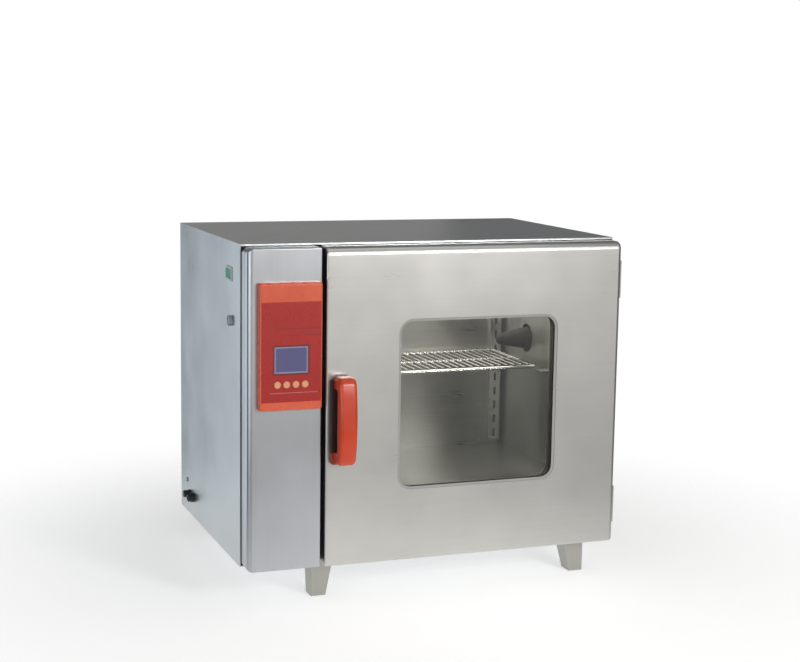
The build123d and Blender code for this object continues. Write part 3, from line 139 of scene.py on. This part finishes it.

# %% [markdown]
# The casing, the column and the door are satin stainless sheet. Most of the chamber's lining is more
# polished, and its floor, where dishes stand, is duller and painted darker as shade low in the chamber.
# The tunnel behind the window is painted near black as the shade in the window's reveal.
# Stainless is a metal, so it is fully metallic and keeps the default IOR, and what it shows is the room:
# bright where it faces the lamps and dark where it faces the ceiling. Grinding leaves fine streaks in
# one direction. They are stretched noise that changes the roughness and gives a small bump. Real streaks
# are 0.1 mm wide, and they are drawn about 2 mm wide to show. A slower cloud stands for handling, and a
# very shallow wave for the spring of a thin sheet. Every wave and depth below is in metres.

# %% Stainless sheet

cloud_scale = 9.0  # handling clouds about 110 mm wide
wave_scale = 14.0  # waves of a thin sheet, about 70 mm wide
streak_share = 0.5  # how much of the streaks is added to the clouds


def stainless(name, dark, light, rough, along="X", wave=0.0003, depth=0.00005):
    """Ground stainless: metallic, streaked along one axis, cloudy with handling, gently wavy."""
    material, shader = start_material(name, {"Metallic": 1.0})
    place = mapped(material)
    lines = noise(material, mapped(material, streaks(along)), 1.0, detail=3.0, rough=0.6)
    cloud = noise(material, place, cloud_scale, detail=3.0, rough=0.6)
    mix = add_node(material, "ShaderNodeMath", {"operation": "MULTIPLY_ADD"}, {
        0: lines, 1: streak_share, 2: cloud}).outputs[0]
    join(material, ramp(material, mix, dark, light, start=0.45, end=1.0), shader.inputs["Base Color"])
    join(material, spread(material, mix, *rough, start=0.5, end=1.0), shader.inputs["Roughness"])
    waves = bump(material, noise(material, place, wave_scale, detail=1.0), wave, strength=0.35)
    join(material, bump(material, lines, depth, strength=0.5, normal=waves), shader.inputs["Normal"])
    return material


casing_steel = stainless(
    "stainless_satin_casing", "#BFC4C6", "#CACECF", (0.27, 0.33), "Z", wave=0.00015, depth=0.000006)
door_steel = stainless(
    "stainless_satin_door", "#C4C3BF", "#CDCCC8", (0.27, 0.34), "X", wave=0.0002, depth=0.000006)
column_steel = stainless(
    "stainless_satin_column", "#B7BABD", "#C0C3C7", (0.28, 0.36), "Z", wave=0.0002, depth=0.00001)
foot_steel = stainless(
    "stainless_satin_foot", "#A5A49D", "#B3B2AB", (0.40, 0.50), "Z", wave=0.0, depth=0.00001)
# The front frame, seen in the gap beside the door, is painted near black: painted shade in the gap.
frame_shade_steel = stainless(
    "steel_frame_painted_shade", "#26282A", "#303234", (0.45, 0.55), "Z", wave=0.0, depth=0.00001)
liner_steel = stainless(
    "stainless_polished_liner", "#A3A4A1", "#C2C3C0", (0.20, 0.34), "Z", wave=0.0012)
wall_steel = stainless(
    "stainless_satin_liner", "#A8A8A4", "#C1C1BD", (0.34, 0.44), "Z", wave=0.0006, depth=0.00001)
# The floor's colour is darker than the lining's: painted shade low in the chamber.
tray_shaded_steel = stainless(
    "stainless_tray_painted_shade", "#7C7C78", "#969692", (0.32, 0.42), "Z", wave=0.0006, depth=0.00001)
duct_steel = stainless(
    "stainless_polished_duct", "#989895", "#B5B5B2", (0.26, 0.37), "X", wave=0.0006, depth=0.00003)
pan_steel = stainless(
    "stainless_brushed_pan", "#B2B1AC", "#CAC9C4", (0.26, 0.38), "X", wave=0.0002, depth=0.00001)
# The tunnel is painted near black: painted shade in the window's reveal.
tunnel_shade_steel = stainless(
    "steel_tunnel_painted_shade", "#31312E", "#3E3E3A", (0.40, 0.52), "X", wave=0.0004, depth=0.00001)
# The shelf standards get a paler colour than the other stainless: a painted glint.
standard_glint_steel = stainless(
    "stainless_standard_painted_glint", "#D6D5D0", "#EAE9E4", (0.10, 0.22), "Z", wave=0.0, depth=0.00001)
rack_steel = stainless(
    "stainless_bright_rack", "#A6A5A0", "#BEBDB8", (0.14, 0.24), "X", wave=0.0, depth=0.00001)
fitting_steel = stainless(
    "stainless_satin_fitting", "#B3B3AF", "#CCCCC8", (0.25, 0.38), "X", wave=0.0, depth=0.00001)
zinc_steel = stainless(
    "steel_zinc_plated", "#9C9C9A", "#BDBDBA", (0.28, 0.42), "X", wave=0.0, depth=0.00001)
print("metals:", casing_steel.name, door_steel.name, liner_steel.name, rack_steel.name)

# %% [markdown]
# The control panel, the grip and the knob are moulded plastic. A mould gives a smooth skin, glossy or
# finely sparked, with hardly any change in colour. ABS has an IOR of about 1.54. A fine ripple is the
# mould's own texture, and a slow change in roughness stands for handling. The silicone of the port's
# bung and the door's gasket is moulded too, so it is made by the same function, only rougher.

# %% Moulded plastic

shade_scale = 25.0  # shades of colour about 40 mm wide
handled_scale = 60.0  # handled patches about 17 mm wide


def moulded(name, dark, light, rough=(0.22, 0.34), grain=900.0, depth=0.00001, extra=None):
    """Moulded ABS: IOR 1.54, near-even colour, fine mould grain, handled patches."""
    material, shader = start_material(name, {"IOR": 1.54, **(extra or {})})
    place = mapped(material)
    shade = noise(material, place, shade_scale)
    join(material, ramp(material, shade, dark, light), shader.inputs["Base Color"])
    handled = noise(material, place, handled_scale, detail=3.0)
    join(material, spread(material, handled, *rough), shader.inputs["Roughness"])
    skin = noise(material, place, grain, detail=1.0)
    join(material, bump(material, skin, depth, strength=0.6), shader.inputs["Normal"])
    return material


coral_plastic = moulded("abs_gloss_coral", "#DE5A3A", "#E66544")
grip_plastic = moulded("abs_gloss_grip_red", "#CA3D1D", "#D44827", (0.18, 0.26))
black_plastic = moulded("abs_satin_black", "#141414", "#1B1B1B", (0.35, 0.5))
peach_plastic = moulded("abs_satin_peach", "#E8A074", "#EFAC82", (0.30, 0.42))
green_plastic = moulded("polycarbonate_green_rocker", "#2F8F72", "#46A587", (0.15, 0.25))
rim_plastic = moulded("abs_satin_pale_rim", "#C4CBCC", "#D0D6D6", (0.35, 0.45))
bung_rubber = moulded(
    "silicone_dark_bung", "#0F0E0C", "#171512", (0.75, 0.9), grain=500.0, depth=0.00002,
    extra={"Specular IOR Level": 0.25})
gasket_rubber = moulded(
    "silicone_black_gasket", "#101010", "#181818", (0.45, 0.6), grain=500.0, depth=0.00002)
print("plastics:", coral_plastic.name, grip_plastic.name, black_plastic.name, bung_rubber.name)

# %% [markdown]
# The panel's front is a printed film. Inks are flat, so the print is drawn by masks in object
# coordinates: a mask is one inside a rectangle and zero outside it. The film has a fine pale line under
# the keys, two fine darker lines above the display, and a darker frame round the display.

# %% Printed film


def rectangle_mask(material, centre, size, axes="XZ", lean=0.0):
    """1 where |a - ca| < w / 2 and |b - cb| < h / 2, else 0; metres from the centre, leaned about X."""
    middle = [0.0, 0.0, 0.0]
    for axis, value in zip(axes, centre):
        middle["XYZ".index(axis)] = value
    source = add_node(material, "ShaderNodeTexCoord").outputs["Object"]
    place = add_node(material, "ShaderNodeMapping", {"vector_type": "TEXTURE"}, {
        "Vector": source, "Location": middle, "Rotation": (lean, 0.0, 0.0)}).outputs["Vector"]
    parts = add_node(material, "ShaderNodeSeparateXYZ", inputs={"Vector": place})
    inside = []
    for axis, width in zip(axes, size):
        inside.append(add_node(material, "ShaderNodeMath", {"operation": "COMPARE"}, {
            0: parts.outputs[axis], 1: 0.0, 2: width / 2}).outputs[0])
    return add_node(material, "ShaderNodeMath", {"operation": "MULTIPLY"}, {
        0: inside[0], 1: inside[1]}).outputs[0]


def painted(material, under, over, mask):
    """The hex colour over on top of the colour under, where the mask is 1."""
    mix = add_node(material, "ShaderNodeMix", {"data_type": "RGBA"})
    factor, first_colour, second_colour = mix.inputs[0], mix.inputs[6], mix.inputs[7]
    join(material, mask, factor)
    join(material, under, first_colour)
    second_colour.default_value = linear(over)
    return mix.outputs[2]


film, film_shader = start_material("polyester_film_dark_red", {"IOR": 1.6})
film_low, film_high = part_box("membrane_overlay")
film_x, film_width = (film_low.x + film_high.x) / 2, film_high.x - film_low.x
screen_low, screen_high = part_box("lcd_display")
screen_x, screen_z = (screen_low.x + screen_high.x) / 2, (screen_low.z + screen_high.z) / 2
key_low, key_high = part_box("button_1")
key_z = (key_low.z + key_high.z) / 2
pale_ink, dark_ink = "#C98574", "#7E1A12"
prints = [  # the ink, its centre in x and z, and its width and height, all in metres
    (pale_ink, (film_x + 0.004, key_z - 0.0125), (0.074, 0.0009)),
    (dark_ink, (film_x + 0.010, screen_z + 0.047), (0.072, 0.0010)),
    (dark_ink, (film_x + 0.018, screen_z + 0.037), (0.056, 0.0008)),
    (dark_ink, (screen_x, screen_z), (0.0575, 0.0455)),
]
ink = ramp(film, noise(film, mapped(film), 12.0), "#AB0F06", "#B3160A")
for print_ink, centre, size in prints:
    ink = painted(film, ink, print_ink, rectangle_mask(film, centre, size))
join(film, ink, film_shader.inputs["Base Color"])
film_handled = noise(film, mapped(film), 80.0, detail=3.0)
join(film, spread(film, film_handled, 0.24, 0.34), film_shader.inputs["Roughness"])
print("film", round(film_width * 1000, 1), "mm wide, with", len(prints), "prints")

# %% [markdown]
# The display is off. An unlit liquid-crystal display is a grey-violet sheet behind clear plastic, with a
# paler rim where the active area ends. Its face is smooth, so it mirrors the room softly.

# %% Display

display, display_shader = start_material("lcd_unlit_grey_violet", {"IOR": 1.5, "Roughness": 0.18})
face = ramp(display, noise(display, mapped(display), 30.0), "#8E90B4", "#9698BA")
active_area = rectangle_mask(display, (screen_x, screen_z), (0.0475, 0.0355))
face = painted(display, face, "#5F5D87", active_area)
join(display, face, display_shader.inputs["Base Color"])
print("display", round((screen_high.x - screen_low.x) * 1000, 1), "mm wide")

# %% [markdown]
# The window is two panes of clear tempered glass. A thin flat pane bends nothing that the eye can tell,
# so each pane is a clear film that mixes in a mirror by Fresnel's law. Oven glass carries a coating that
# cuts the mirror to two fifths, and its tint is the slight grey of iron in the glass. Lamps shine through
# it, so the chamber is lit.

# %% Window glass


glass_ior = 1.5
mirror_share = 0.4  # the part of the mirror that the coating leaves


def pane(name, tint):
    """Coated glass: two fifths of the Fresnel mirror at IOR 1.5 over a tinted, see-through film."""
    material, shader = start_material(name, {
        "Base Color": (0.96, 0.97, 0.97, 1.0), "Metallic": 1.0, "Roughness": 0.03})
    clear = add_node(material, "ShaderNodeBsdfTransparent", inputs={"Color": linear(tint)})
    fresnel = add_node(material, "ShaderNodeFresnel", inputs={"IOR": glass_ior})
    share = add_node(material, "ShaderNodeMath", {"operation": "MULTIPLY"}, {
        0: fresnel.outputs[0], 1: mirror_share})
    mix = add_node(material, "ShaderNodeMixShader", inputs={0: share.outputs[0]})
    join(material, clear.outputs[0], mix.inputs[1])
    join(material, shader.outputs[0], mix.inputs[2])
    join(material, mix.outputs[0], material.node_tree.nodes["Material Output"].inputs["Surface"])
    return material


glass = pane("glass_tempered_clear", "#FBFBFA")
print("glass:", glass.name)

# %% [markdown]
# The silicone seal round the outer pane is pale grey at its lip, where it meets the door, and black
# behind the glass. The grip's base is painted dark as the shade beside the grip, and its lower end is
# painted red as the light that reaches it there. The limiter's knob is a grey cap with a dark pointer
# painted across it. All three are painted by the same masks.

# %% Two-tone pieces


def two_tone(name, ground, light, over, mask_of, rough=(0.4, 0.55)):
    """Moulded plastic whose colour changes to over where the mask is 1."""
    material, shader = start_material(name, {"IOR": 1.5})
    shade = ramp(material, noise(material, mapped(material), shade_scale), ground, light)
    join(material, painted(material, shade, over, mask_of(material)), shader.inputs["Base Color"])
    handled = noise(material, mapped(material), handled_scale, detail=3.0)
    join(material, spread(material, handled, *rough), shader.inputs["Roughness"])
    skin = noise(material, mapped(material), 700.0, detail=1.0)
    join(material, bump(material, skin, 0.00001, strength=0.6), shader.inputs["Normal"])
    return material


seal_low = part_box("window_seal")[0]
base_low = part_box("handle_base")[0]
knob_low, knob_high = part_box("limiter_knob")
knob_middle = ((knob_low.y + knob_high.y) / 2, (knob_low.z + knob_high.z) / 2)


def seal_lip(material):
    """1 on the front 1.7 mm of the seal, which is its lip."""
    return rectangle_mask(material, (seal_low.y, seal_low.z), (0.0034, 2.0), "YZ")


def base_lit_end(material):
    """1 on the lowest 18 mm of the grip's base, where light is painted in red."""
    return rectangle_mask(material, (base_low.x, base_low.z), (1.0, 0.036))


def knob_pointer(material):
    """1 on a stripe 2.8 mm wide across the knob, leaned by 35 degrees."""
    return rectangle_mask(material, knob_middle, (0.0028, 0.03), "YZ", math.radians(-35))


seal_rubber = two_tone("silicone_seal_grey_lip", "#141414", "#1C1C1C", "#A6A7A3", seal_lip)
# The base's dark ground is painted shade, and its red lower end is painted light.
base_shade_plastic = two_tone("abs_grip_base_painted_light_and_shade", "#2A1512", "#361D19", "#8E3A2C", base_lit_end)
knob_plastic = two_tone("abs_satin_grey_knob", "#A2AAAD", "#AEB6B9", "#3A4043", knob_pointer)
print("two-tone:", seal_rubber.name, base_shade_plastic.name, knob_plastic.name)

# %% [markdown]
# Behind the sheets are parts that show when the door is open, or in a cut view: mineral wool, a circuit
# board, a lacquered motor, a heater tube dulled by heat and ferrite magnets.

# %% Hidden parts


def rough_body(name, dark, light, rough, scale, depth, metallic=0.0):
    """A plain rough body whose noise colours it and lifts its surface by depth metres."""
    material, shader = start_material(name, {"Metallic": metallic})
    grain = noise(material, mapped(material), scale, detail=4.0, rough=0.6)
    join(material, ramp(material, grain, dark, light), shader.inputs["Base Color"])
    join(material, spread(material, grain, *rough), shader.inputs["Roughness"])
    join(material, bump(material, grain, depth, strength=0.7), shader.inputs["Normal"])
    return material


wool = rough_body("mineral_wool_yellow", "#A89B6E", "#D9CDA0", (0.9, 1.0), scale=220.0, depth=0.0008)
board = rough_body("circuit_board_green", "#164A2A", "#1F5E38", (0.35, 0.5), scale=400.0, depth=0.00003)
lacquer = rough_body("steel_black_lacquer", "#141516", "#1E1F20", (0.3, 0.45), scale=150.0, depth=0.00003)
ferrite = rough_body("ferrite_magnet", "#2A2A2B", "#3A3A3B", (0.5, 0.7), scale=500.0, depth=0.00004)
heat_tube = rough_body(
    "steel_tube_heat_dulled", "#5A5147", "#857C70", (0.35, 0.55), scale=120.0, depth=0.00003, metallic=1.0)
fan_metal = rough_body(
    "aluminium_mill_finish", "#A6A8AA", "#C3C5C7", (0.3, 0.42), scale=90.0, depth=0.00002, metallic=1.0)
print("hidden finishes:", wool.name, board.name, lacquer.name, ferrite.name, heat_tube.name)

# %% [markdown]
# Each CAD node now gets its finish. The node's mesh stays as it is, and only its material slots change.

# %% Dress the CAD nodes

finishes = {
    casing_steel: ["top_panel", "left_side_panel", "right_side_panel", "rear_panel", "base_pan"],
    door_steel: ["door_skin"],
    column_steel: ["control_cover"],
    foot_steel: ["feet"],
    frame_shade_steel: ["front_frame", "partition_wall"],
    liner_steel: ["liner_roof", "liner_left_wall", "liner_back"],
    wall_steel: ["liner_right_wall"],
    tray_shaded_steel: ["liner_floor"],
    duct_steel: ["duct_panel"],
    pan_steel: ["door_inner_pan"],
    tunnel_shade_steel: ["window_tunnel"],
    rack_steel: ["wire_shelf"],
    standard_glint_steel: ["shelf_standards", "shelf_clips"],
    fitting_steel: ["port_sleeve", "vent_tube", "vent_cap", "hinge_brackets", "door_hinge_leaves"],
    zinc_steel: ["panel_screws", "foot_bolts", "catch_strikes", "temperature_probe"],
    wool: ["chamber_insulation", "door_insulation"],
    glass: ["outer_glass", "inner_glass"],
    seal_rubber: ["window_seal"],
    gasket_rubber: ["door_gasket"],
    bung_rubber: ["port_bung"],
    coral_plastic: ["control_bezel"],
    film: ["membrane_overlay"],
    display: ["lcd_display"],
    peach_plastic: ["button_1", "button_2", "button_3", "button_4"],
    green_plastic: ["power_rocker"],
    rim_plastic: ["switch_frame"],
    black_plastic: ["key_switches", "limiter_body", "fuse_holder", "cable_gland"],
    knob_plastic: ["limiter_knob"],
    base_shade_plastic: ["handle_base"],
    grip_plastic: ["handle_grip"],
    board: ["control_board"],
    lacquer: ["fan_motor", "transformer"],
    ferrite: ["catch_magnets"],
    heat_tube: ["heater_element"],
    fan_metal: ["fan_impeller", "motor_shaft"],
}
dressed = set()
for material, names in finishes.items():
    for name in names:
        for place in nodes[name].material_slots:
            place.material = material
        dressed.add(name)
print("dressed", len(dressed), "nodes; left bare:", sorted(set(nodes) - dressed))

# %% [markdown]
# The oven stands on a plain white floor that glows a little, like a light table, and fades out about one
# metre away into the white room, so it has no horizon.

# %% Floor


def floor_grid(size, steps):
    """Floor points: x and y run from -size / 2 to size / 2 in equal steps, and z is 0."""
    line = np.linspace(-size / 2, size / 2, steps)
    x, y = np.meshgrid(line, line, indexing="ij")
    points = np.stack([x, y, np.zeros_like(x)], -1).reshape(-1, 3)
    index = np.arange(steps * steps).reshape(steps, steps)
    faces = np.stack([index[:-1, :-1], index[1:, :-1], index[1:, 1:], index[:-1, 1:]], -1).reshape(-1, 4)
    return points, faces


points, faces = floor_grid(size=4.0, steps=9)
floor_mesh = bpy.data.meshes.new("floor")
floor_mesh.from_pydata(points.tolist(), [], faces.tolist())
floor = bpy.data.objects.new("floor", floor_mesh)
bpy.context.scene.collection.objects.link(floor)
floor_paint, floor_shader = start_material("studio_floor_white", {
    "Roughness": 0.9, "Specular IOR Level": 0.1})
floor_cloud = noise(floor_paint, mapped(floor_paint), 2.0)
join(floor_paint, ramp(floor_paint, floor_cloud, "#F4F4F3", "#F7F7F6"), floor_shader.inputs["Base Color"])
floor_shader.inputs["Emission Color"].default_value = (1.0, 1.0, 1.0, 1.0)
floor_shader.inputs["Emission Strength"].default_value = 0.46
fade_start, fade_end = 0.34, 1.05  # metres from the floor's middle
reach = add_node(floor_paint, "ShaderNodeVectorMath", {"operation": "LENGTH"}, {0: mapped(floor_paint)})
fade = add_node(floor_paint, "ShaderNodeMapRange", {"interpolation_type": "SMOOTHSTEP"}, {
    "Value": reach.outputs["Value"], "From Min": fade_start, "From Max": fade_end})
gone = add_node(floor_paint, "ShaderNodeBsdfTransparent")
blend = add_node(floor_paint, "ShaderNodeMixShader", inputs={0: fade.outputs["Result"]})
join(floor_paint, floor_shader.outputs[0], blend.inputs[1])
join(floor_paint, gone.outputs[0], blend.inputs[2])
join(floor_paint, blend.outputs[0], floor_paint.node_tree.nodes["Material Output"].inputs["Surface"])
floor_mesh.materials.append(floor_paint)
print("floor of", len(faces), "faces")

# %% [markdown]
# Metal shows whatever is in front of it, so the lamps are large cards. A low one in front fills the door,
# and a brighter one above it, with a card overhead, draws the bright line along the door's rounded top.
# A small, strong one at the front right adds the highlights. Two cool ones stand on the left: the
# column's rounded edge mirrors the front one, and the left side mirrors the one behind. The top mirrors
# a faint one at the back, and the dim ceiling keeps it dark. A small lamp under the chamber's roof lights
# the inside, as light from the room does in a bright laboratory.

# %% Lamps and room


def soft_lamp(name, place, aim, size, watts, colour):
    """A rectangular area lamp at place, pointing at aim, size metres wide and high."""
    data = bpy.data.lights.new(name, "AREA")
    data.shape = "RECTANGLE"
    data.size, data.size_y = size
    data.energy = watts
    data.color = linear(colour)[:3]
    lamp = bpy.data.objects.new(name, data)
    lamp.location = place
    lamp.rotation_euler = (Vector(aim) - Vector(place)).to_track_quat("-Z", "Y").to_euler()
    lamp.visible_camera = False
    bpy.context.scene.collection.objects.link(lamp)
    return lamp


lamps = [
    soft_lamp("front_card", (0.6, -3.4, 0.2), (0.1, 0.0, 0.25), (3.9, 1.8), 12.8, "#FFFEFC"),
    soft_lamp("front_softbox", (0.7, -2.8, 2.2), (0.0, 0.0, 0.50), (3.2, 1.4), 12.0, "#FFFDFA"),
    soft_lamp("top_card", (0.1, -0.6, 2.2), (0.0, 0.0, 0.5), (2.0, 1.2), 5.0, "#FFFFFF"),
    soft_lamp("chamber_lamp", (0.07, -0.02, 0.455), (0.07, -0.02, 0.0), (0.30, 0.24), 1.2, "#FFFCF8"),
    soft_lamp("key_right", (0.88, -2.5, 1.12), (0.0, -0.1, 0.35), (0.52, 0.45), 20.0, "#FFFDFB"),
    soft_lamp("left_card", (-2.5, -1.9, 0.45), (-0.3, -0.1, 0.30), (2.4, 1.4), 20.0, "#EEF4FA"),
    soft_lamp("side_card", (-1.92, 1.85, 0.10), (-0.31, 0.0, 0.30), (2.0, 1.8), 17.0, "#D8E4ED"),
    soft_lamp("back_card", (0.4, 3.2, 0.9), (0.0, 0.0, 0.55), (1.9, 0.9), 1.0, "#F8F4EA"),
]
room = bpy.data.worlds.new("studio_room")
bpy.context.scene.world = room
room.use_nodes = True
tree = room.node_tree
backdrop = tree.nodes["Background"]
backdrop.inputs["Color"].default_value = (1.0, 1.0, 1.0, 1.0)
room_level, backdrop_level = 0.18, 1.0  # what lights the oven, and what the camera sees
path = tree.nodes.new("ShaderNodeLightPath")
level = tree.nodes.new("ShaderNodeMapRange")
level.inputs["To Min"].default_value = room_level
level.inputs["To Max"].default_value = backdrop_level
tree.links.new(path.outputs["Is Camera Ray"], level.inputs["Value"])
tree.links.new(level.outputs["Result"], backdrop.inputs["Strength"])
bpy.context.scene.view_settings.view_transform = "Standard"
print("lamps:", [lamp.name for lamp in lamps])

# %% [markdown]
# The camera stands about two and a half metres in front, to the left and a little above, so the door, the
# left side and a sliver of the top show. A 72 mm lens on a 36 mm sensor gives the mild perspective of a
# product photograph.

# %% Camera

camera_place = Vector((-0.9164, -2.4686, 0.7793))
lens_mm, sensor_mm = 72.05, 36.0
yaw, pitch, roll = math.radians(20.54), math.radians(8.43), math.radians(0.88)
forward = Vector((math.sin(yaw) * math.cos(pitch), math.cos(yaw) * math.cos(pitch), -math.sin(pitch)))
level_right = Vector((math.cos(yaw), -math.sin(yaw), 0.0))
level_up = level_right.cross(forward)
right = level_right * math.cos(roll) + level_up * math.sin(roll)
up = level_up * math.cos(roll) - level_right * math.sin(roll)
camera_data = bpy.data.cameras.new("camera")
camera_data.lens = lens_mm
camera_data.sensor_width = sensor_mm
camera = bpy.data.objects.new("camera", camera_data)
aimed = Matrix((right, up, -forward)).transposed().to_4x4()
camera.matrix_world = Matrix.Translation(camera_place) @ aimed
bpy.context.scene.collection.objects.link(camera)
bpy.context.scene.camera = camera
print("camera", [round(v, 3) for v in camera_place], "lens", camera_data.lens)
